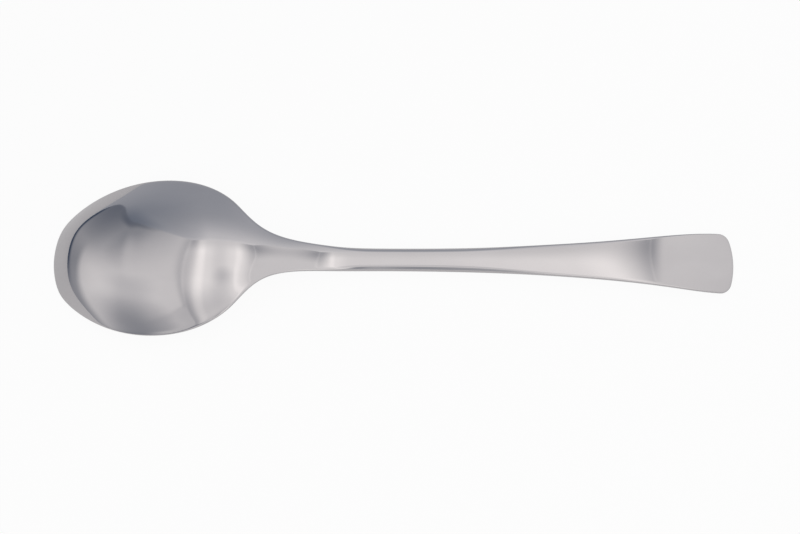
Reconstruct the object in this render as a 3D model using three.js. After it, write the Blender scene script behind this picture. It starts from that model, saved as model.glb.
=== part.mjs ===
// Curry spoon, stamped from one strip of stainless steel and polished.
// It lies face down as on a table: tip towards -X, handle towards +X, back of the bowl up.
// Millimetres. Places along the length are measured from the tip.
import * as THREE from 'three';

// Plan outline
const LENGTH = 190;
const TIP_RADIUS = 36.9;
const SHOULDER_AT = 3.25;
const SHOULDER_HALF_WIDTH = 11.3;
const SHOULDER_ANGLE = 50.5;
const SHOULDER_LEAD = 0.8;
const BOWL_WIDTH = 44.8;
const WIDEST_AT = 29.9;
const HEEL_AT = 51.7;
const HEEL_HALF_WIDTH = 13.8;
const HEEL_ANGLE = 48.6;
const HEEL_LEAD_IN = 1;
const HEEL_LEAD_OUT = 7.9;
const STEM_WIDTH = 6.5;
const NARROWEST_AT = 94.7;
const HANDLE_WIDTH = 17.3;
const HANDLE_LEAD = 13;
const END_RADIUS = 23.4;
const CORNER_RADIUS = 3.1;

// Centre line of the sheet, seen from the side
const TIP_HEIGHT = 0.2;
const TIP_ANGLE = 56.8;
const BROW_AT = 6.46;
const CREST_AT = 43.4;
const CREST_HEIGHT = 12.5;
const CREST_RADIUS = 41.4;
const CREST_LEAD_IN = 8;
const CREST_LEAD_OUT = 5.2;
const RAMP_FOOT = 78.8;
const RAMP_RUN_OUT = 12;
const STEM_HEIGHT = 4.37;
const BEND_FROM_END = 17.5;
const BEND_REACH = 24.5;
const END_HEIGHT = 1.09;

// Edge of the sheet, seen from the side
const RIM_FLAT = 2.8;
const RIM_PEAK_AT = 55.8;
const RIM_PEAK_HEIGHT = 9.65;
const RIM_PEAK_LEAD = 7.3;
const RIM_DROP_LENGTH = 23.5;
const RIM_RUN_OUT = 9.3;
const STEM_CROWN = 0.15;

// Section of the sheet: 1 is a parabola, less is flatter in the middle and steeper at the sides
const BOWL_FULLNESS = 0.85;
const HEEL_FULLNESS = 1.39;
const HEEL_SECTION_START = 5;
const HEEL_SECTION_FULL = 47;
const HEEL_SECTION_FADE = 52;
const HEEL_SECTION_END = 74;

// Thickness of the sheet on its centre line and at its edge
const BOWL_THICKNESS = 1.8;
const RIM_THICKNESS = 1.2;
const STEM_THICKNESS = 2.5;
const STEM_EDGE_THICKNESS = 2.2;
const END_THICKNESS = 1.9;
const END_EDGE_THICKNESS = 1.6;
const THICKENING_START = 38;
const THICKENING_END = 74;
const THINNING_START = 130;

// Rounding of the sheet's edges, and of the broader roll along the back of the stem
const EDGE_ROUND = 0.5;
const STEM_ROLL = 1.4;
const ROLL_START = 72;
const ROLL_FULL = 88;
const ROLL_FADE = 112;
const ROLL_END = 142;

// Mesh: strips across the width, and rows along each stretch of the outline
const STRIPS = 17;
const FLANK_ROWS = 14;
const HEEL_ROWS = 11;
const NECK_ROWS = 15;
const HANDLE_ROWS = 17;
const CORNER_ROWS = 2;
const EDGE_STEPS = 3;
const ROW_BEND = 12;
const NUDGE = 1e-3;
const HALVINGS = 48;
const FLANK_PASSES = 40;

const point = (x, y) => new THREE.Vector2(x, y);
const cubic = (...points) => new THREE.CubicBezierCurve(...points);
const slopeOf = (degrees) => Math.tan(THREE.MathUtils.degToRad(degrees));
const smooth = (x, from, to) => THREE.MathUtils.smoothstep(x, from, to);

// A cubic's radius at its end follows from its handle there and from how far its other handle lies off the
// tangent: each of the three lengths gives the next one from the other two.
const handleFor = (distance, radius) => Math.sqrt((2 / 3) * Math.abs(distance) * radius);
const radiusOf = (distance, handle) => (3 * handle ** 2) / (2 * Math.abs(distance));
const distanceFor = (handle, radius) => (3 * handle ** 2) / (2 * radius);

// Where the tangent through one point meets the tangent through another.
function meet(p, slopeP, q, slopeQ) {
  const x = (q.y - p.y + slopeP * p.x - slopeQ * q.x) / (slopeP - slopeQ);
  return point(x, p.y + slopeP * (x - p.x));
}

// Blend between two straight runs that meet in a corner, with no bend left at either end.
const blend = (start, corner, end) => cubic(start, corner, corner, end);

// Point on the straight line between two points, at a place along the length.
function onLine(p, q, x) {
  return point(x, THREE.MathUtils.mapLinear(x, p.x, q.x, p.y, q.y));
}

// Value of a chain of curves at a place along the length.
function valueAt(chain, x) {
  const curve = chain.find((each) => x <= each.getPoint(1).x) ?? chain.at(-1);
  let low = 0;
  let high = 1;
  for (let pass = 0; pass < HALVINGS; pass += 1) {
    const middle = (low + high) / 2;
    if (curve.getPoint(middle).x < x) low = middle;
    else high = middle;
  }
  return curve.getPoint((low + high) / 2).y;
}

// Half of the plan outline, on the +Y side, as curves that share tangent and bend where they join.
function planOutline() {
  const shoulderSlope = slopeOf(SHOULDER_ANGLE);
  const heelSlope = slopeOf(HEEL_ANGLE);
  const halfBowl = BOWL_WIDTH / 2;
  const halfStem = STEM_WIDTH / 2;
  const halfHandle = HANDLE_WIDTH / 2;
  const tip = point(0, 0);
  const shoulder = point(SHOULDER_AT, SHOULDER_HALF_WIDTH);
  const widest = point(WIDEST_AT, halfBowl);
  const heel = point(HEEL_AT, HEEL_HALF_WIDTH);
  const narrowest = point(NARROWEST_AT, halfStem);

  const tipDepth = SHOULDER_AT - SHOULDER_LEAD;
  const tipHandle = point(0, handleFor(tipDepth, TIP_RADIUS));
  const shoulderIn = point(tipDepth, SHOULDER_HALF_WIDTH - shoulderSlope * SHOULDER_LEAD);

  // The outline is straight for an instant at the heel: the handles either side aim along its tangent.
  const widestOut = meet(widest, 0, heel, -heelSlope);
  const heelIn = point(HEEL_AT - HEEL_LEAD_IN, HEEL_HALF_WIDTH + heelSlope * HEEL_LEAD_IN);
  const heelOut = point(HEEL_AT + HEEL_LEAD_OUT, HEEL_HALF_WIDTH - heelSlope * HEEL_LEAD_OUT);
  const narrowestIn = meet(narrowest, 0, heel, -heelSlope);

  // The flank takes its bend from the tip at one end and from the heel's side of the bowl at the other.
  const tangent = Math.hypot(1, shoulderSlope);
  const offTangent = (p) => ((p.x - shoulder.x) * shoulderSlope - (p.y - shoulder.y)) / tangent;
  const shoulderRadius = radiusOf(offTangent(tipHandle), SHOULDER_LEAD * tangent);
  const widestRadius = radiusOf(halfBowl - heelIn.y, widestOut.x - WIDEST_AT);
  const shoulderOut = shoulder.clone();
  const widestIn = widest.clone();
  for (let pass = 0; pass < FLANK_PASSES; pass += 1) {
    widestIn.x = WIDEST_AT - handleFor(halfBowl - shoulderOut.y, widestRadius);
    const lead = handleFor(offTangent(widestIn), shoulderRadius) / tangent;
    shoulderOut.x = SHOULDER_AT + (shoulderOut.x - SHOULDER_AT + lead) / 2;
    shoulderOut.y = SHOULDER_HALF_WIDTH + shoulderSlope * (shoulderOut.x - SHOULDER_AT);
  }

  const endCentre = LENGTH - END_RADIUS;
  const cornerY = halfHandle - CORNER_RADIUS;
  const cornerX = endCentre + Math.sqrt((END_RADIUS - CORNER_RADIUS) ** 2 - cornerY ** 2);
  const cornerTurn = Math.atan2(cornerY, cornerX - endCentre);
  const cornerMiddle = (cornerTurn + Math.PI / 2) / 2;
  const narrowRadius = radiusOf(heelOut.y - halfStem, NARROWEST_AT - narrowestIn.x);
  const narrowestOut = point(NARROWEST_AT + handleFor(halfHandle - halfStem, narrowRadius), halfStem);
  const handleIn = point(cornerX - HANDLE_LEAD, halfHandle);
  const corner = (from, to) => (
    new THREE.EllipseCurve(cornerX, cornerY, CORNER_RADIUS, CORNER_RADIUS, from, to, to < from)
  );

  const end = new THREE.Path();
  end.curves.push(new THREE.EllipseCurve(endCentre, 0, END_RADIUS, END_RADIUS, 0, cornerTurn));
  end.curves.push(corner(cornerTurn, cornerMiddle));
  return {
    tip: cubic(tip, tipHandle, shoulderIn, shoulder),
    flank: cubic(shoulder, shoulderOut, widestIn, widest),
    heel: cubic(widest, widestOut, heelIn, heel),
    neck: cubic(heel, heelOut, narrowestIn, narrowest),
    handle: cubic(narrowest, narrowestOut, handleIn, point(cornerX, halfHandle)),
    corner: corner(Math.PI / 2, cornerMiddle),
    end,
  };
}

// Stem and handle in side view, from a place on the stem: straight, then bent down towards the end.
function handleLine(start, endHeight) {
  const bend = point(LENGTH - BEND_FROM_END, start.y);
  const bendStart = point(bend.x - BEND_REACH, start.y);
  return [new THREE.LineCurve(start, bendStart), blend(bendStart, bend, point(LENGTH, endHeight))];
}

// Centre line of the sheet in side view: over the bowl, down the ramp of the neck and along the stem.
function centreLine() {
  const tip = point(0, TIP_HEIGHT);
  const brow = point(BROW_AT, TIP_HEIGHT + slopeOf(TIP_ANGLE) * BROW_AT);
  const crest = point(CREST_AT, CREST_HEIGHT);
  const crestIn = point(CREST_AT - CREST_LEAD_IN, CREST_HEIGHT);
  const crestOut = point(CREST_AT + CREST_LEAD_OUT, CREST_HEIGHT);
  const foot = point(RAMP_FOOT, STEM_HEIGHT);
  const bowlMiddle = brow.clone().lerp(crestIn, 0.5);
  const rampMiddle = foot.clone().lerp(crestOut, 0.5);
  const dropIn = distanceFor(CREST_LEAD_IN, CREST_RADIUS);
  const dropOut = distanceFor(CREST_LEAD_OUT, CREST_RADIUS);
  const bowlOut = crestIn.clone().lerp(brow, dropIn / (CREST_HEIGHT - brow.y));
  const rampIn = crestOut.clone().lerp(foot, dropOut / (CREST_HEIGHT - STEM_HEIGHT));
  const stemStart = point(RAMP_FOOT + RAMP_RUN_OUT, STEM_HEIGHT);
  return [
    blend(tip, brow, bowlMiddle),
    cubic(bowlMiddle, bowlOut, crestIn, crest),
    cubic(crest, crestOut, rampIn, rampMiddle),
    blend(rampMiddle, foot, stemStart),
    ...handleLine(stemStart, END_HEIGHT),
  ];
}

// Edge of the sheet in side view: level under the tip, rising to its peak at the heel and dropping to the
// stem, where it runs a crown's height below the centre line.
function rimLine() {
  const tip = point(0, TIP_HEIGHT);
  const flat = point(RIM_FLAT, TIP_HEIGHT);
  const peak = point(RIM_PEAK_AT, RIM_PEAK_HEIGHT);
  const foot = point(RIM_PEAK_AT + RIM_DROP_LENGTH, STEM_HEIGHT - STEM_CROWN);
  const flankStart = onLine(flat, peak, 2 * RIM_FLAT);
  const flankEnd = onLine(flat, peak, RIM_PEAK_AT - RIM_PEAK_LEAD);
  const dropMiddle = peak.clone().lerp(foot, 0.5);
  const stemStart = point(foot.x + RIM_RUN_OUT, foot.y);
  return [
    blend(tip, flat, flankStart),
    new THREE.LineCurve(flankStart, flankEnd),
    blend(flankEnd, peak, dropMiddle),
    blend(dropMiddle, foot, stemStart),
    ...handleLine(stemStart, END_HEIGHT - STEM_CROWN),
  ];
}

const outline = planOutline();
const sides = [outline.tip, outline.flank, outline.heel, outline.neck, outline.handle];
const centre = centreLine();
const rim = rimLine();

// Share of the section's crown at a point: 1 on the centre line, 0 on the outline.
function crownShare(x, y, fullness) {
  const squared = (y / valueAt(sides, x)) ** 2;
  return (1 - squared) * (1 + (1 - fullness) * squared);
}

function fullnessAt(x) {
  const heel = smooth(x, HEEL_SECTION_START, HEEL_SECTION_FULL);
  const bowl = THREE.MathUtils.lerp(BOWL_FULLNESS, HEEL_FULLNESS, heel);
  return THREE.MathUtils.lerp(bowl, 1, smooth(x, HEEL_SECTION_FADE, HEEL_SECTION_END));
}

// A size that runs from the bowl's value to the stem's along the neck, and to the end's along the handle.
function alongLength(x, bowl, stem, end) {
  const thickened = THREE.MathUtils.lerp(bowl, stem, smooth(x, THICKENING_START, THICKENING_END));
  return THREE.MathUtils.lerp(thickened, end, smooth(x, THINNING_START, LENGTH));
}

// Radius of the edge on the sheet's back.
function rollAt(x) {
  const stem = smooth(x, ROLL_START, ROLL_FULL) - smooth(x, ROLL_FADE, ROLL_END);
  return THREE.MathUtils.lerp(EDGE_ROUND, STEM_ROLL, stem);
}

function thicknessAt(x, y) {
  const middle = alongLength(x, BOWL_THICKNESS, STEM_THICKNESS, END_THICKNESS);
  const edge = alongLength(x, RIM_THICKNESS, STEM_EDGE_THICKNESS, END_EDGE_THICKNESS);
  return THREE.MathUtils.lerp(edge, middle, crownShare(x, y, 1));
}

// Height of the middle of the sheet over a point of the plan.
function sheetHeight(x, y) {
  return THREE.MathUtils.lerp(valueAt(rim, x), valueAt(centre, x), crownShare(x, y, fullnessAt(x)));
}

function sheetNormal(x, y) {
  const slopeX = (sheetHeight(x + NUDGE, y) - sheetHeight(x - NUDGE, y)) / (2 * NUDGE);
  const slopeY = (sheetHeight(x, y + NUDGE) - sheetHeight(x, y - NUDGE)) / (2 * NUDGE);
  return new THREE.Vector3(-slopeX, -slopeY, 1).normalize();
}

// Point of an outline curve, set in by the edge's rounding, and the way out of the sheet there. That way is
// to the left (1) of the curves from the tip to the corner, and to the right (-1) of the handle's end.
function boundaryPoint(curve, share, hand) {
  const p = curve.getPointAt(share);
  const tangent = curve.getTangentAt(share);
  const out = point(-hand * tangent.y, hand * tangent.x);
  return { at: p.clone().addScaledVector(out, -rollAt(p.x)), out };
}

// Rows of the sheet's boundary on the +Y side, from the shoulder to the middle of the handle's corner.
function sideRows() {
  const stretches = [
    [outline.flank, FLANK_ROWS],
    [outline.heel, HEEL_ROWS],
    [outline.neck, NECK_ROWS],
    [outline.handle, HANDLE_ROWS],
    [outline.corner, CORNER_ROWS],
  ];
  const rows = stretches.flatMap(([curve, count]) => (
    Array.from({ length: count }, (_, row) => boundaryPoint(curve, row / count, 1))
  ));
  return [...rows, boundaryPoint(outline.corner, 1, 1)];
}

// The sheet's plan as a grid of points: its first row bends round the tip and its last round the handle's
// end, and the rows between straighten out away from both.
function planGrid() {
  const rows = sideRows();
  const shares = Array.from({ length: STRIPS + 1 }, (_, column) => (2 * column) / STRIPS - 1);
  const tipRow = shares.map((share) => boundaryPoint(outline.tip, Math.abs(share), 1));
  const endRow = shares.map((share) => boundaryPoint(outline.end, Math.abs(share), -1));
  const first = rows[0].at;
  const last = rows.at(-1).at;
  return rows.map(({ at, out }, row) => shares.map((share, column) => {
    const bendTip = 1 - smooth(at.x, first.x, WIDEST_AT);
    const bendEnd = smooth(at.x, last.x - ROW_BEND, last.x);
    const tip = tipRow[column].at;
    const end = endRow[column].at;
    const across = THREE.MathUtils.lerp(tip.y / first.y, end.y / last.y, smooth(at.x, WIDEST_AT, LENGTH));
    const lagTip = bendTip * (first.x - tip.x);
    const lagEnd = bendEnd * (end.x - last.x);
    const side = Math.sign(share);
    const onTip = row === 0 ? tipRow[column].out : null;
    const onEnd = row === rows.length - 1 ? endRow[column].out : null;
    const outward = onTip ?? onEnd ?? out;
    return {
      x: at.x - lagTip + lagEnd,
      y: side * across * at.y,
      out: new THREE.Vector3(outward.x, side * outward.y, 0),
    };
  }));
}

// Rows and columns of the grid's boundary, once round, anticlockwise from above.
function boundaryLoop(lastRow, lastColumn) {
  const near = Array.from({ length: lastRow }, (_, row) => [row, 0]);
  const end = Array.from({ length: lastColumn }, (_, column) => [lastRow, column]);
  const far = near.map(([row]) => [lastRow - row, lastColumn]);
  const tip = end.map(([, column]) => [0, lastColumn - column]);
  return [...near, ...end, ...far, ...tip];
}

// The sheet, thickened both ways along its normals and rounded over at its edge, as one closed surface.
function spoonGeometry() {
  const sheet = planGrid().map((row) => row.map(({ x, y, out }) => {
    const normal = sheetNormal(x, y);
    const across = out.clone().addScaledVector(normal, -out.dot(normal)).normalize();
    const middle = new THREE.Vector3(x, y, sheetHeight(x, y));
    return { middle, normal, across, half: thicknessAt(x, y) / 2, roll: rollAt(x) };
  }));
  const vertices = [];
  const triangles = [];
  const place = ({ middle, normal, across }, up, outward) => (
    vertices.push(middle.clone().addScaledVector(normal, up).addScaledVector(across, outward)) - 1
  );
  const quad = (a, b, c, d) => triangles.push(a, b, c, a, c, d);
  const back = sheet.map((row) => row.map((each) => place(each, each.half, 0)));
  const front = sheet.map((row) => row.map((each) => place(each, -each.half, 0)));
  const lastRow = sheet.length - 1;
  for (let row = 0; row < lastRow; row += 1) {
    for (let column = 0; column < STRIPS; column += 1) {
      quad(back[row][column], back[row + 1][column], back[row + 1][column + 1], back[row][column + 1]);
      quad(front[row][column], front[row][column + 1], front[row + 1][column + 1], front[row + 1][column]);
    }
  }

  const loop = boundaryLoop(lastRow, STRIPS);
  const ring = (face, turn) => loop.map(([row, column]) => {
    const each = sheet[row][column];
    const rise = face > 0 ? each.roll : EDGE_ROUND;
    const up = each.half - rise * (1 - Math.cos(turn));
    return place(each, face * up, each.roll * Math.sin(turn));
  });
  const turns = Array.from({ length: EDGE_STEPS }, (_, step) => ((step + 1) / EDGE_STEPS) * (Math.PI / 2));
  const rings = [
    loop.map(([row, column]) => back[row][column]),
    ...turns.map((turn) => ring(1, turn)),
    ...turns.toReversed().map((turn) => ring(-1, turn)),
    loop.map(([row, column]) => front[row][column]),
  ];
  for (let lower = 1; lower < rings.length; lower += 1) {
    loop.forEach((_, here) => {
      const next = (here + 1) % loop.length;
      quad(rings[lower][here], rings[lower][next], rings[lower - 1][next], rings[lower - 1][here]);
    });
  }

  const geometry = new THREE.BufferGeometry().setFromPoints(vertices);
  geometry.setIndex(triangles);
  geometry.computeBoundingBox();
  const { min, max } = geometry.boundingBox;
  geometry.translate(-(min.x + max.x) / 2, 0, -min.z);
  geometry.computeVertexNormals();
  return geometry;
}

const polishedSteel = new THREE.MeshStandardMaterial({ color: 0xc6c3c5, metalness: 1, roughness: 0.16 });
const spoon = new THREE.Mesh(spoonGeometry(), polishedSteel);
spoon.name = 'spoon';

const currySpoon = new THREE.Group();
currySpoon.add(spoon);

export default currySpoon;
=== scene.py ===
"""Curry spoon in polished stainless steel, lying face down on a pale table in a soft light tent."""

from __future__ import annotations

import logging
import math
from dataclasses import dataclass
from enum import Enum
from typing import Any

import bpy
from mathutils import Matrix


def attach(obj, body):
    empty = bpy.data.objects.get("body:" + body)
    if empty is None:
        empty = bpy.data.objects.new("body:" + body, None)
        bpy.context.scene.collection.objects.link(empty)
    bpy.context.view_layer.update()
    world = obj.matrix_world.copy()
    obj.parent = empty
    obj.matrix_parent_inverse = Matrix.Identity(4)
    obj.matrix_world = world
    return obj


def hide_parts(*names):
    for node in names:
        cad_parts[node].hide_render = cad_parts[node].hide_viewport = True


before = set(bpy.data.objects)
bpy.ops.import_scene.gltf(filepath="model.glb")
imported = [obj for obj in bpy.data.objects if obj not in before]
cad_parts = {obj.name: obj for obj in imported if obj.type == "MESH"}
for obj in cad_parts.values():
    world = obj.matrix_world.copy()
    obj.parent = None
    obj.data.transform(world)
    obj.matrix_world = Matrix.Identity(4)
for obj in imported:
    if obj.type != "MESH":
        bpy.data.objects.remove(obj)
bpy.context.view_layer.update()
# Gap between the table and the foot of the far wall, in metres.
TABLE_GAP = 0.0005
# Places of the tent's walls and roof, in metres.
LEFT_WALL = -0.161
RIGHT_WALL = 0.185
NEAR_WALL = -0.34
FAR_WALL = 0.245
ROOF = 0.48
# Places of the two lamps on the roof along X, in metres.
LEFT_LAMP = -0.121
RIGHT_LAMP = 0.122
LOG = logging.getLogger("curry_spoon")

Colour = tuple[float, float, float]
Point = tuple[float, float, float]
Operand = "Socket | float"


class Axis(Enum):
    """Direction that a coordinate is read along."""

    X = 0
    Y = 1
    Z = 2


class Socket:
    """One number in a node tree, with the usual operators written as Math nodes."""

    def __init__(self, tree: NodeTree, output: bpy.types.NodeSocket) -> None:
        """Wraps an output.

        Args:
            tree: Tree that the output belongs to.
            output: Output that carries the number.
        """
        self.tree = tree
        self.output = output

    def _math(self, operation: str, *values: Operand, clamp: bool = False) -> Socket:
        """Adds one Math node.

        Args:
            operation: Name of the node's operation.
            values: Inputs in the node's order.
            clamp: Whether the result is held between 0 and 1.

        Returns:
            The node's result.
        """
        settings = {"operation": operation, "use_clamp": clamp}
        node = self.tree.node("ShaderNodeMath", settings, dict(enumerate(values)))
        return Socket(self.tree, node.outputs[0])

    def __add__(self, other: Operand) -> Socket:
        """Sum of the two."""
        return self._math("ADD", self, other)

    def __radd__(self, other: float) -> Socket:
        """Sum with a plain number on the left."""
        return self._math("ADD", other, self)

    def __sub__(self, other: Operand) -> Socket:
        """Difference of the two."""
        return self._math("SUBTRACT", self, other)

    def __rsub__(self, other: float) -> Socket:
        """Difference from a plain number on the left."""
        return self._math("SUBTRACT", other, self)

    def __mul__(self, other: Operand) -> Socket:
        """Product of the two."""
        return self._math("MULTIPLY", self, other)

    def __rmul__(self, other: float) -> Socket:
        """Product with a plain number on the left."""
        return self._math("MULTIPLY", other, self)

    def __truediv__(self, other: Operand) -> Socket:
        """Quotient of the two."""
        return self._math("DIVIDE", self, other)

    def __rtruediv__(self, other: float) -> Socket:
        """Quotient of a plain number by this one."""
        return self._math("DIVIDE", other, self)

    def __pow__(self, other: Operand) -> Socket:
        """Power of the two."""
        return self._math("POWER", self, other)

    def __abs__(self) -> Socket:
        """Size without its sign."""
        return self._math("ABSOLUTE", self)

    def above(self, other: Operand) -> Socket:
        """The larger of the two."""
        return self._math("MAXIMUM", self, other)

    def clamped(self) -> Socket:
        """The number held between 0 and 1."""
        return self._math("ADD", self, 0.0, clamp=True)

    def ramp(self, start: float, end: float) -> Socket:
        """Runs smoothly from 0 at one value to 1 at another.

        Args:
            start: Value at which the result is 0.
            end: Value at which the result is 1.

        Returns:
            The smooth step between them.
        """
        share = ((self - start) * (1.0 / (end - start))).clamped()
        return share * share * (3.0 - 2.0 * share)

    def bump(self, centre: Operand, reach: float) -> Socket:
        """A soft hump, 1 at its centre and 0 beyond its reach.

        Args:
            centre: Value at the top of the hump.
            reach: Distance from there at which the hump ends.

        Returns:
            The height of the hump.
        """
        away = abs(self - centre) * (1.0 / reach)
        rest = (1.0 - away * away).above(0.0)
        return rest * rest


class NodeTree:
    """The shader nodes of one material or of the world."""

    def __init__(self, tree: bpy.types.ShaderNodeTree) -> None:
        """Empties a tree to build in.

        Args:
            tree: Tree of a material or a world.
        """
        self.tree = tree
        self.tree.nodes.clear()

    def node(
        self, kind: str, settings: dict[str, Any] | None = None, values: dict[str | int, Any] | None = None
    ) -> bpy.types.Node:
        """Adds one node.

        Args:
            kind: Type of the node.
            settings: Properties of the node, set before its inputs.
            values: Numbers, vectors or links of its inputs.

        Returns:
            The node.
        """
        node = self.tree.nodes.new(kind)
        for name, setting in (settings or {}).items():
            setattr(node, name, setting)
        for key, value in (values or {}).items():
            if isinstance(value, Socket):
                value = value.output
            if isinstance(value, bpy.types.NodeSocket):
                self.tree.links.new(value, node.inputs[key])
            else:
                node.inputs[key].default_value = value
        return node

    def place(self) -> bpy.types.NodeSocket:
        """Place on the object, in metres."""
        return self.node("ShaderNodeTexCoord").outputs["Object"]

    def along(self, axis: Axis) -> Socket:
        """Place on the object along one direction, in metres.

        Args:
            axis: The direction.

        Returns:
            The coordinate.
        """
        parts = self.node("ShaderNodeSeparateXYZ", {}, {0: self.place()})
        return Socket(self, parts.outputs[axis.value])

    def noise(self, stretch: Point, detail: float) -> Socket:
        """Cloudy variation around 0.5.

        Args:
            stretch: Repeats per metre along each direction.
            detail: Octaves of finer variation.

        Returns:
            The variation.
        """
        scaled = self.node("ShaderNodeVectorMath", {"operation": "MULTIPLY"}, {0: self.place(), 1: stretch})
        inputs = {"Vector": scaled.outputs[0], "Scale": 1.0, "Detail": detail}
        cloud = self.node("ShaderNodeTexNoise", {}, inputs)
        return Socket(self, cloud.outputs[0])

    def mix(self, share: Socket, first: Colour, second: Colour) -> bpy.types.NodeSocket:
        """Colour between two others.

        Args:
            share: 0 for the first colour and 1 for the second.
            first: Colour at 0.
            second: Colour at 1.

        Returns:
            The colour.
        """
        inputs = {0: share, 6: (*first, 1.0), 7: (*second, 1.0)}
        blend = self.node("ShaderNodeMix", {"data_type": "RGBA"}, inputs)
        return blend.outputs[2]

    def finish(self, shader: bpy.types.Node, kind: str = "ShaderNodeOutputMaterial") -> None:
        """Ends the tree in a shader.

        Args:
            shader: Node whose first output is the surface.
            kind: Type of the output node.
        """
        self.node(kind, {}, {"Surface": shader.outputs[0]})


@dataclass(frozen=True)
class PolishedSteel:
    """Stainless steel with a buffed, slightly smudged polish.

    Attributes:
        name: Name of the finish.
        clean: Colour of the bare metal.
        hazed: Colour where handling has dulled it a little.
        roughness: Roughness of the polish.
        roughness_spread: How far the polish varies.
        line_depth_m: Depth of the buffing lines.
        line_share: How much the lines vary the polish, as a share of the haze's part.
        haze_repeats: Patches of haze per metre along each direction.
        haze_detail: Octaves of finer haze.
        haze_span: Values of the haze from clean to hazed.
        line_repeats: Buffing lines per metre along each direction.
        line_detail: Octaves of finer lines.
    """

    name: str = "polished_steel"
    clean: Colour = (0.565, 0.545, 0.555)
    hazed: Colour = (0.535, 0.515, 0.525)
    roughness: float = 0.05
    roughness_spread: float = 0.03
    line_depth_m: float = 2e-7
    line_share: float = 0.5
    haze_repeats: Point = (28.0, 70.0, 70.0)
    haze_detail: float = 4.0
    haze_span: tuple[float, float] = (0.35, 0.65)
    line_repeats: Point = (60.0, 5200.0, 5200.0)
    line_detail: float = 2.0

    def material(self) -> bpy.types.Material:
        """Builds the finish.

        Returns:
            The material.
        """
        material = bpy.data.materials.new(self.name)
        material.use_nodes = True
        tree = NodeTree(material.node_tree)
        haze = tree.noise(self.haze_repeats, self.haze_detail)
        lines = tree.noise(self.line_repeats, self.line_detail)
        uneven = (haze - 0.5) + self.line_share * (lines - 0.5)
        rough = self.roughness + self.roughness_spread * uneven
        bump = tree.node(
            "ShaderNodeBump", {}, {"Strength": 1.0, "Distance": self.line_depth_m, "Height": lines}
        )
        tree.finish(tree.node("ShaderNodeBsdfPrincipled", {}, {
            "Base Color": tree.mix(haze.ramp(*self.haze_span), self.clean, self.hazed),
            "Metallic": 1.0,
            "Roughness": rough,
            "Normal": bump.outputs[0],
        }))
        return material


@dataclass
class SpoonBody:
    """The whole spoon: one sheet of steel from the bowl's tip to the handle's end.

    Attributes:
        node: CAD node that the piece stands for.
        piece_name: Name of the finished piece.
        finish: Finish of the steel.
        merge_distance: Distance under which the node's loose corners are one, in metres.
        grid_influence: How strongly the facets are paired back into a regular grid.
        crown_gain: Share by which the bowl's back stands higher than its CAD facets.
        crown_full: Place along the spoon up to which the gain is full, in metres.
        crown_end: Place along the spoon at which the gain has died away, in metres.
        smooth_levels: Subdivision levels that round the facets off.
    """

    node: str = "spoon"
    piece_name: str = "spoon_steel"
    finish: PolishedSteel = PolishedSteel()
    merge_distance: float = 1e-6
    grid_influence: float = 2.0
    crown_gain: float = 0.042
    crown_full: float = -0.0405
    crown_end: float = -0.0215
    smooth_levels: int = 2

    def _crown(self, piece: bpy.types.Object) -> None:
        """Raises the bowl's back to the steepness that its reflections show.

        Args:
            piece: The sheet, at the origin.
        """
        for vertex in piece.data.vertices:
            share = (vertex.co.x - self.crown_full) / (self.crown_end - self.crown_full)
            share = min(max(share, 0.0), 1.0)
            vertex.co.z *= 1.0 + self.crown_gain * (1.0 - share * share * (3.0 - 2.0 * share))

    def build(self) -> bpy.types.Object:
        """Makes the smooth sheet from the CAD node's facets.

        Returns:
            The finished piece, at the origin.
        """
        bpy.ops.object.select_all(action="DESELECT")
        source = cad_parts[self.node]
        piece = bpy.data.objects.new(self.piece_name, source.data.copy())
        bpy.context.scene.collection.objects.link(piece)
        piece.data.name = self.piece_name
        bpy.context.view_layer.objects.active = piece
        piece.select_set(True)
        bpy.ops.object.mode_set(mode="EDIT")
        bpy.ops.mesh.select_all(action="SELECT")
        bpy.ops.mesh.remove_doubles(threshold=self.merge_distance)
        bpy.ops.mesh.tris_convert_to_quads(
            face_threshold=math.pi, shape_threshold=math.pi, topology_influence=self.grid_influence
        )
        bpy.ops.object.mode_set(mode="OBJECT")
        self._crown(piece)
        rounding = piece.modifiers.new("rounding", "SUBSURF")
        rounding.levels = self.smooth_levels
        rounding.render_levels = self.smooth_levels
        bpy.ops.object.modifier_apply(modifier=rounding.name)
        bpy.ops.object.shade_smooth()
        piece.data.materials.clear()
        piece.data.materials.append(self.finish.material())
        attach(piece, "root")
        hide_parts(self.node)
        return piece


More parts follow.
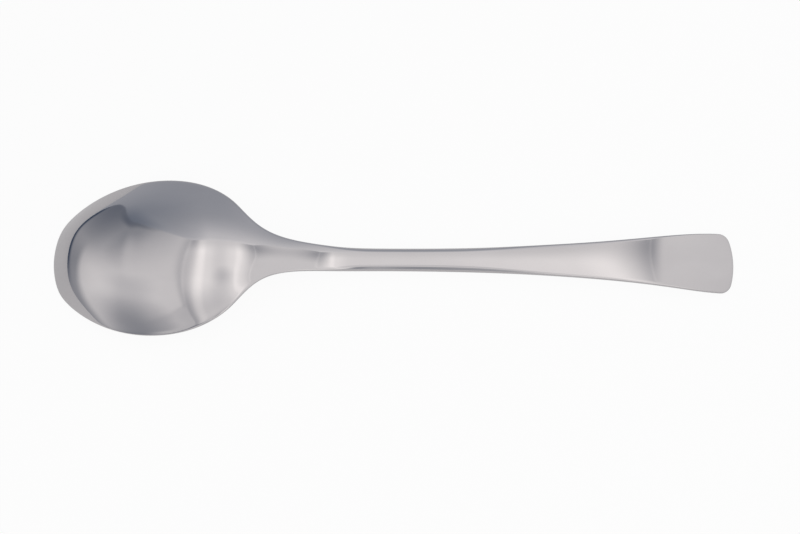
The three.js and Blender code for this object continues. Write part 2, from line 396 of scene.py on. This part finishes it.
@dataclass(frozen=True)
class Tabletop:
    """Matt pale table that the spoon lies on.

    Attributes:
        size_m: Side of the square table.
        colour: Colour of the table.
        pale: Colour in the fainter parts of its surface.
        lift: Share of plain white that the table adds where it is seen.
        mirrored_lift: Share of plain white that it adds where the steel mirrors it.
        cloud_repeats: Fainter patches per metre along each direction.
        cloud_detail: Octaves of finer patches.
        cloud_span: Values of the patches from colour to pale.
    """

    size_m: float = 4.0
    colour: Colour = (0.74, 0.74, 0.74)
    pale: Colour = (0.725, 0.725, 0.73)
    lift: float = 0.94
    mirrored_lift: float = 0.3
    cloud_repeats: Point = (9.0, 9.0, 9.0)
    cloud_detail: float = 3.0
    cloud_span: tuple[float, float] = (0.35, 0.65)

    def build(self) -> bpy.types.Object:
        """Lays the table under the spoon.

        Returns:
            The table.
        """
        bpy.ops.object.select_all(action="DESELECT")
        bpy.ops.mesh.primitive_plane_add(size=self.size_m)
        table = bpy.context.active_object
        table.name = "table"
        material = bpy.data.materials.new("matt_pale")
        material.use_nodes = True
        tree = NodeTree(material.node_tree)
        clouds = tree.noise(self.cloud_repeats, self.cloud_detail).ramp(*self.cloud_span)
        colour = tree.mix(clouds, self.colour, self.pale)
        matt = tree.node("ShaderNodeBsdfDiffuse", {}, {"Color": colour})
        white = tree.node("ShaderNodeEmission", {}, {"Color": (1.0, 1.0, 1.0, 1.0), "Strength": 1.0})
        path = tree.node("ShaderNodeLightPath")
        seen = Socket(tree, path.outputs["Is Camera Ray"])
        mirrored = Socket(tree, path.outputs["Is Glossy Ray"])
        through = Socket(tree, path.outputs["Is Transmission Ray"])
        share = self.lift * seen + self.mirrored_lift * (mirrored + through).clamped()
        inputs = {0: share, 1: matt.outputs[0], 2: white.outputs[0]}
        tree.finish(tree.node("ShaderNodeMixShader", {}, inputs))
        table.data.materials.append(material)
        return table


@dataclass(frozen=True)
class Fade:
    """Light that drops smoothly by a share between two places.

    Attributes:
        share: Share of the light that is lost.
        start: Place at which the drop starts, in metres.
        end: Place at which it is complete, in metres.
    """

    share: float
    start: float
    end: float

    def of(self, place: Socket) -> Socket:
        """Share of the light that is left at a place."""
        return 1.0 - self.share * place.ramp(self.start, self.end)


@dataclass(frozen=True)
class Streak:
    """Soft-edged line of added or missing light.

    Attributes:
        gain: Light added along its middle.
        centre: Place of its middle, in metres.
        reach: Half its width, in metres.
    """

    gain: float
    centre: float
    reach: float

    def of(self, place: Socket) -> Socket:
        """Light added at a place."""
        return self.gain * place.bump(self.centre, self.reach)


@dataclass(frozen=True)
class Pool:
    """Soft-edged oval of shade on a wall.

    Attributes:
        share: Share of the light that is lost in its middle.
        centre: Its middle on the wall, in metres.
        reach: Its half-axes, in metres.
        core: Part of the reach over which the shade stays full.
    """

    share: float
    centre: tuple[float, float]
    reach: tuple[float, float]
    core: float = 0.0

    def of(self, across: Socket, up: Socket) -> Socket:
        """Share of the light that is left at a place on the wall."""
        first = (across - self.centre[0]) * (1.0 / self.reach[0])
        second = (up - self.centre[1]) * (1.0 / self.reach[1])
        away = (first * first + second * second) ** 0.5
        return 1.0 - self.share * (1.0 - away.ramp(self.core, 1.0))


@dataclass
class LightTent:
    """Box of white cloth lit from outside, which the steel mirrors.

    Lengths and places are in metres, and a brightness of 1 is plain white.

    Attributes:
        left: Place of the wall beyond the bowl's tip, along X.
        right: Place of the wall beyond the handle's end, along X.
        near: Place of the wall under the camera, along Y.
        far: Place of the far wall, along Y.
        height: Height of the roof.
        cove_radius: Radius of the curve from the table into the far wall.
        cove_segments: Facets of that curve.
        shade: Colour of the cloth where its brightness is shade_level.
        shade_level: Brightness of the dimmest cloth.
        lamp: Colour of the cloth where its brightness is lamp_level.
        lamp_level: Brightness of the brightest cloth.
        fold_reach: Half the width of the bright fold between the roof and a side wall.
        fold_light: Light that the fold adds.
        roof_light: Brightness of the roof away from its lamps.
        lamps: Line under each lamp and the wide glow round it, along X.
        lamp_fade: Drop of the lamps towards the far wall, along Y.
        left_edge: Light lost towards the roof's left edge, and where that starts.
        right_edge: Light lost towards the roof's right edge, and where that starts.
        roof_near_fade: Drop of the roof towards the camera's side, along Y.
        roof_pools: Shade round the camera and in the roof's right edge.
        left_light: Brightness of the left wall.
        left_pools: Shade in its far and near corners and soft clouds between them.
        left_top_fade: Drop of the left wall under the roof.
        left_foot_fade: Drop of the left wall at the table.
        skirt: Shade along the foot of the left wall's near half.
        skirt_slope: Rise of the skirt's edge towards the far wall.
        skirt_edge: Height of the skirt's edge, from full shade to none.
        skirt_end: Places between which the skirt ends, along Y.
        crease: Dark line where the left wall meets the table.
        crease_start: Places between which the crease begins, along Y.
        flap_light: Brightness of the flap at the left wall's near end.
        flap_lean: How far the flap's edge leans towards the camera per unit of height.
        flap_span: Places at the table between which the flap begins, along Y.
        flap_foot: Heights between which the flap comes into sight.
        flap_line: Dark line along the flap's edge.
        right_light: Brightness of the right wall.
        right_pools: Shade at the top of its far end.
        right_foot_fade: Drop of the right wall towards the table.
        far_shade: Bluer colour of the far wall's dim cloth, used there in place of shade.
        far_light: Brightness of the far wall's lower part.
        far_rise: Light that the far wall gains upwards.
        far_rise_span: Heights between which it gains that.
        far_rim: Light that it gains close under the roof.
        far_rim_span: Heights between which it gains that.
        far_pools: Shade in its left corner.
        far_foot: Light that the table throws on the foot of the curve.
        far_foot_top: Height at which that has died away.
        lamp_glow: Share of the lamps that shines on the top of the far wall.
        lamp_glow_span: Heights between which that starts.
        near_light: Brightness of the near wall.
        near_left_fade: Drop of the near wall to its left, along X.
        near_gap: Dim line behind the camera's stand, along X.
    """

    left: float = LEFT_WALL
    right: float = RIGHT_WALL
    near: float = NEAR_WALL
    far: float = FAR_WALL
    height: float = ROOF
    cove_radius: float = 0.11
    cove_segments: int = 16
    shade: Colour = (0.072, 0.1, 0.155)
    shade_level: float = 0.1
    lamp: Colour = (1.632, 1.6, 1.555)
    lamp_level: float = 1.6
    fold_reach: float = 0.0045
    fold_light: float = 0.18
    roof_light: float = 0.912
    lamps: tuple[Streak, ...] = (
        Streak(0.182, LEFT_LAMP, 0.026),
        Streak(0.141, RIGHT_LAMP, 0.022),
        Streak(0.374, LEFT_LAMP, 0.169),
        Streak(0.374, RIGHT_LAMP, 0.169),
    )
    lamp_fade: Fade = Fade(0.8, 0.1, FAR_WALL)
    left_edge: tuple[float, float] = (0.411, -0.131)
    right_edge: tuple[float, float] = (0.2, 0.132)
    roof_near_fade: Fade = Fade(0.344, -0.15, NEAR_WALL)
    roof_pools: tuple[Pool, ...] = (
        Pool(0.24, (0.037, -0.12), (0.113, 0.113)),
        Pool(0.343, (RIGHT_WALL, 0.177), (0.07, 0.25)),
    )
    left_light: float = 0.967
    left_pools: tuple[Pool, ...] = (
        Pool(0.765, (FAR_WALL, 0.027), (0.395, 0.55), 0.049),
        Pool(0.46, (-0.267, 0.001), (0.2, 0.35), 0.568),
        Pool(0.3, (-0.165, 0.05), (0.07, 0.18), 0.2),
        Pool(0.219, (0.141, 0.259), (0.2, 0.067)),
        Pool(-0.211, (-0.019, 0.12), (0.124, 0.15)),
        Pool(0.164, (-0.112, 0.235), (0.08, 0.123)),
        Pool(0.45, (0.24, 0.2), (0.025, 0.14)),
    )
    left_top_fade: Fade = Fade(0.264, 0.42, 0.4755)
    left_foot_fade: Fade = Fade(0.1, 0.028, 0.0)
    skirt: float = 0.46
    skirt_slope: float = 0.6
    skirt_edge: tuple[float, float] = (0.042, 0.09)
    skirt_end: tuple[float, float] = (0.0, 0.09)
    crease: Streak = Streak(0.4, 0.0, 0.019)
    crease_start: tuple[float, float] = (-0.04, 0.05)
    flap_light: float = 0.78
    flap_lean: float = 0.351
    flap_span: tuple[float, float] = (-0.114, -0.13)
    flap_foot: tuple[float, float] = (0.1, 0.22)
    flap_line: Streak = Streak(0.12, -0.119, 0.006)
    right_light: float = 0.966
    right_pools: tuple[Pool, ...] = (Pool(0.47, (0.2, ROOF), (0.2, 0.14)),)
    right_foot_fade: Fade = Fade(0.12, 0.248, 0.0)
    far_shade: Colour = (0.054, 0.097, 0.173)
    far_light: float = 0.465
    far_rise: float = 0.357
    far_rise_span: tuple[float, float] = (0.111, 0.394)
    far_rim: float = 0.1
    far_rim_span: tuple[float, float] = (0.4, ROOF)
    far_pools: tuple[Pool, ...] = (
        Pool(0.31, (LEFT_WALL, 0.283), (0.084, 0.5)),
        Pool(0.3, (LEFT_WALL, 0.2), (0.02, 0.14)),
    )
    far_foot: float = 0.094
    far_foot_top: float = 0.164
    lamp_glow: float = 0.164
    lamp_glow_span: tuple[float, float] = (0.3, ROOF)
    near_light: float = 1.15
    near_left_fade: Fade = Fade(0.7, -0.006, LEFT_WALL)
    near_gap: Streak = Streak(0.6, 0.01, 0.048)

    def _cloth(self, panel: bpy.types.Object, name: str) -> NodeTree:
        """Names a wall, hides it from the camera and gives it its cloth.

        Args:
            panel: The wall.
            name: Its name.

        Returns:
            The node tree of the cloth, empty.
        """
        panel.name = name
        material = bpy.data.materials.new(f"{name}_cloth")
        material.use_nodes = True
        panel.data.materials.append(material)
        panel.visible_camera = False
        return NodeTree(material.node_tree)

    def _panel(self, name: str, corners: list[Point]) -> tuple[bpy.types.Object, NodeTree]:
        """Makes one flat wall of the tent.

        Args:
            name: Name of the wall.
            corners: Its four corners, in order.

        Returns:
            The wall and the node tree of its cloth.
        """
        bpy.ops.object.select_all(action="DESELECT")
        bpy.ops.mesh.primitive_plane_add(size=1.0)
        panel = bpy.context.active_object
        order = (0, 1, 3, 2)
        for index, corner in zip(order, corners):
            panel.data.vertices[index].co = corner
        return panel, self._cloth(panel, name)

    def _glow(self, tree: NodeTree, light: Socket, shade: Colour | None = None) -> None:
        """Lets a wall's cloth shine.

        Args:
            tree: Node tree of the cloth.
            light: Brightness of the cloth.
            shade: Colour of the dimmest cloth, or none for the tent's own.
        """
        share = (light - self.shade_level) * (1.0 / (self.lamp_level - self.shade_level))
        colour = tree.mix(share, shade or self.shade, self.lamp)
        tree.finish(tree.node("ShaderNodeEmission", {}, {"Color": colour}))

    def _fold(self, place: Socket, fold: float) -> Socket:
        """Bright line where the roof and a wall meet.

        Args:
            place: Place across the fold.
            fold: Place of the fold.

        Returns:
            The added light.
        """
        return Streak(self.fold_light, fold, self.fold_reach).of(place)

    def _lamp_light(self, place: Socket) -> Socket:
        """Light of all the lamps together.

        Args:
            place: Place along X.

        Returns:
            The added light.
        """
        light = self.lamps[0].of(place)
        for lamp in self.lamps[1:]:
            light = light + lamp.of(place)
        return light

    def _pooled(self, light: Operand, pools: tuple[Pool, ...], across: Socket, up: Socket) -> Socket:
        """Light of a wall with its shade taken off.

        Args:
            light: Brightness without the shade.
            pools: The shade.
            across: Place along the wall's first direction.
            up: Place along its second direction.

        Returns:
            The light that is left.
        """
        for pool in pools:
            light = light * pool.of(across, up)
        return light

    def roof(self) -> bpy.types.Object:
        """Roof with a bright streak under each lamp, dimmer round the camera and at its edges.

        Returns:
            The roof.
        """
        panel, tree = self._panel("tent_roof", [
            (self.left, self.near, self.height),
            (self.right, self.near, self.height),
            (self.right, self.far, self.height),
            (self.left, self.far, self.height),
        ])
        x, y = tree.along(Axis.X), tree.along(Axis.Y)
        light = self.roof_light + self._lamp_light(x) * self.lamp_fade.of(y)
        light = light - self.left_edge[0] * x.ramp(self.left_edge[1], self.left + self.fold_reach)
        light = light - self.right_edge[0] * x.ramp(self.right_edge[1], self.right - self.fold_reach)
        light = self._pooled(light, self.roof_pools, x, y) * self.roof_near_fade.of(y)
        self._glow(tree, light + self._fold(x, self.left) + self._fold(x, self.right))
        return panel

    def left_wall(self) -> bpy.types.Object:
        """Wall beyond the tip, dark in its far and near corners and along the table.

        Returns:
            The wall.
        """
        panel, tree = self._panel("tent_left", [
            (self.left, self.near, 0.0),
            (self.left, self.far, 0.0),
            (self.left, self.far, self.height),
            (self.left, self.near, self.height),
        ])
        y, z = tree.along(Axis.Y), tree.along(Axis.Z)
        light = self._pooled(self.left_light, self.left_pools, y, z)
        low = 1.0 - (z - self.skirt_slope * y).ramp(*self.skirt_edge)
        skirt = self.skirt * low * (1.0 - y.ramp(*self.skirt_end))
        light = light * (1.0 - skirt) * self.left_foot_fade.of(z) * self.left_top_fade.of(z)
        leaning = y + self.flap_lean * z
        shown = z.ramp(*self.flap_foot)
        flap = leaning.ramp(*self.flap_span) * shown
        light = light * (1.0 - flap) + self.flap_light * flap - self.flap_line.of(leaning) * shown
        crease = self.crease.of(z) * y.ramp(*self.crease_start)
        self._glow(tree, light - crease + self._fold(z, self.height))
        return panel

    def right_wall(self) -> bpy.types.Object:
        """Wall beyond the handle, dimmer at the top of its far end and along the table.

        Returns:
            The wall.
        """
        panel, tree = self._panel("tent_right", [
            (self.right, self.near, 0.0),
            (self.right, self.far, 0.0),
            (self.right, self.far, self.height),
            (self.right, self.near, self.height),
        ])
        y, z = tree.along(Axis.Y), tree.along(Axis.Z)
        light = self._pooled(self.right_light, self.right_pools, y, z) * self.right_foot_fade.of(z)
        self._glow(tree, light + self._fold(z, self.height))
        return panel

    def far_wall(self) -> bpy.types.Object:
        """Far wall, curved up out of the table and darker lower down.

        Returns:
            The wall.
        """
        bpy.ops.object.select_all(action="DESELECT")
        rows = self.cove_segments + 1
        bpy.ops.mesh.primitive_grid_add(x_subdivisions=1, y_subdivisions=rows, size=1.0)
        panel = bpy.context.active_object
        for vertex in panel.data.vertices:
            row = round((vertex.co.y + 0.5) * rows)
            turn = 0.5 * math.pi * min(row, self.cove_segments) / self.cove_segments
            rise = self.height if row == rows else self.cove_radius * (1.0 - math.cos(turn)) + TABLE_GAP
            vertex.co = (
                self.left if vertex.co.x < 0.0 else self.right,
                self.far - self.cove_radius * (1.0 - math.sin(turn)),
                rise,
            )
        tree = self._cloth(panel, "tent_far")
        x, z = tree.along(Axis.X), tree.along(Axis.Z)
        light = self.far_light + self.far_rise * z.ramp(*self.far_rise_span)
        light = self._pooled(light + self.far_rim * z.ramp(*self.far_rim_span), self.far_pools, x, z)
        light = light + self.far_foot * (1.0 - z.ramp(0.0, self.far_foot_top))
        light = light + self.lamp_glow * self._lamp_light(x) * z.ramp(*self.lamp_glow_span)
        self._glow(tree, light, self.far_shade)
        return panel

    def near_wall(self) -> bpy.types.Object:
        """Wall under the camera, dim at its left and in its middle.

        Returns:
            The wall.
        """
        panel, tree = self._panel("tent_near", [
            (self.left, self.near, 0.0),
            (self.right, self.near, 0.0),
            (self.right, self.near, self.height),
            (self.left, self.near, self.height),
        ])
        x = tree.along(Axis.X)
        self._glow(tree, self.near_light * self.near_left_fade.of(x) * (1.0 - self.near_gap.of(x)))
        return panel

    def build(self) -> list[bpy.types.Object]:
        """Puts the tent up round the spoon.

        Returns:
            The tent's walls and roof.
        """
        return [self.roof(), self.left_wall(), self.right_wall(), self.far_wall(), self.near_wall()]


@dataclass(frozen=True)
class Surroundings:
    """Plain white world outside the tent.

    Attributes:
        brightness: Brightness of the world.
    """

    brightness: float = 1.0

    def build(self) -> bpy.types.World:
        """Makes the world and puts it in the scene.

        Returns:
            The world.
        """
        world = bpy.data.worlds.new("white_room")
        world.use_nodes = True
        tree = NodeTree(world.node_tree)
        white = tree.node(
            "ShaderNodeBackground", {}, {"Color": (1.0, 1.0, 1.0, 1.0), "Strength": self.brightness}
        )
        tree.finish(white, "ShaderNodeOutputWorld")
        bpy.context.scene.world = world
        return world


@dataclass
class PhotoCamera:
    """Camera at the photograph's viewing angle.

    Attributes:
        aim: Point of the table at the picture's middle, in metres.
        distance: Distance from the camera to that point.
        tilt_deg: Angle between the view and the vertical.
        roll_deg: Turn of the picture about the view.
        lens_mm: Focal length.
        sensor_mm: Width of the sensor.
        nearest: Distance from which things are seen, in metres.
        farthest: Distance up to which things are seen, in metres.
    """

    aim: Point = (0.00185, -0.00098, 0.0)
    distance: float = 0.5053
    tilt_deg: float = 16.0
    roll_deg: float = 0.2624
    lens_mm: float = 81.0
    sensor_mm: float = 36.0
    nearest: float = 0.01
    farthest: float = 100.0

    def build(self) -> bpy.types.Object:
        """Places the camera and makes it the scene's own.

        Returns:
            The camera object.
        """
        data = bpy.data.cameras.new("photo_camera")
        data.lens = self.lens_mm
        data.sensor_width = self.sensor_mm
        data.sensor_fit = "HORIZONTAL"
        data.clip_start = self.nearest
        data.clip_end = self.farthest
        camera = bpy.data.objects.new("photo_camera", data)
        bpy.context.scene.collection.objects.link(camera)
        tilt = Matrix.Rotation(math.radians(self.tilt_deg), 4, "X")
        roll = Matrix.Rotation(math.radians(self.roll_deg), 4, "Z")
        back = Matrix.Translation((0.0, 0.0, self.distance))
        camera.matrix_world = Matrix.Translation(self.aim) @ tilt @ roll @ back
        bpy.context.scene.camera = camera
        return camera


def main() -> None:
    """Builds the spoon, the table, the light and the camera, and reports each piece."""
    logging.basicConfig(level=logging.INFO)
    bpy.context.scene.view_settings.view_transform = "Standard"
    spoon = SpoonBody().build()
    LOG.info("%s: %d faces", spoon.name, len(spoon.data.polygons))
    table = Tabletop().build()
    LOG.info("%s: %.1f m square", table.name, table.dimensions.x)
    for panel in LightTent().build():
        LOG.info("%s: %.2f x %.2f x %.2f m", panel.name, *panel.dimensions)
    Surroundings().build()
    PhotoCamera().build()


if __name__ == "__main__":
    main()
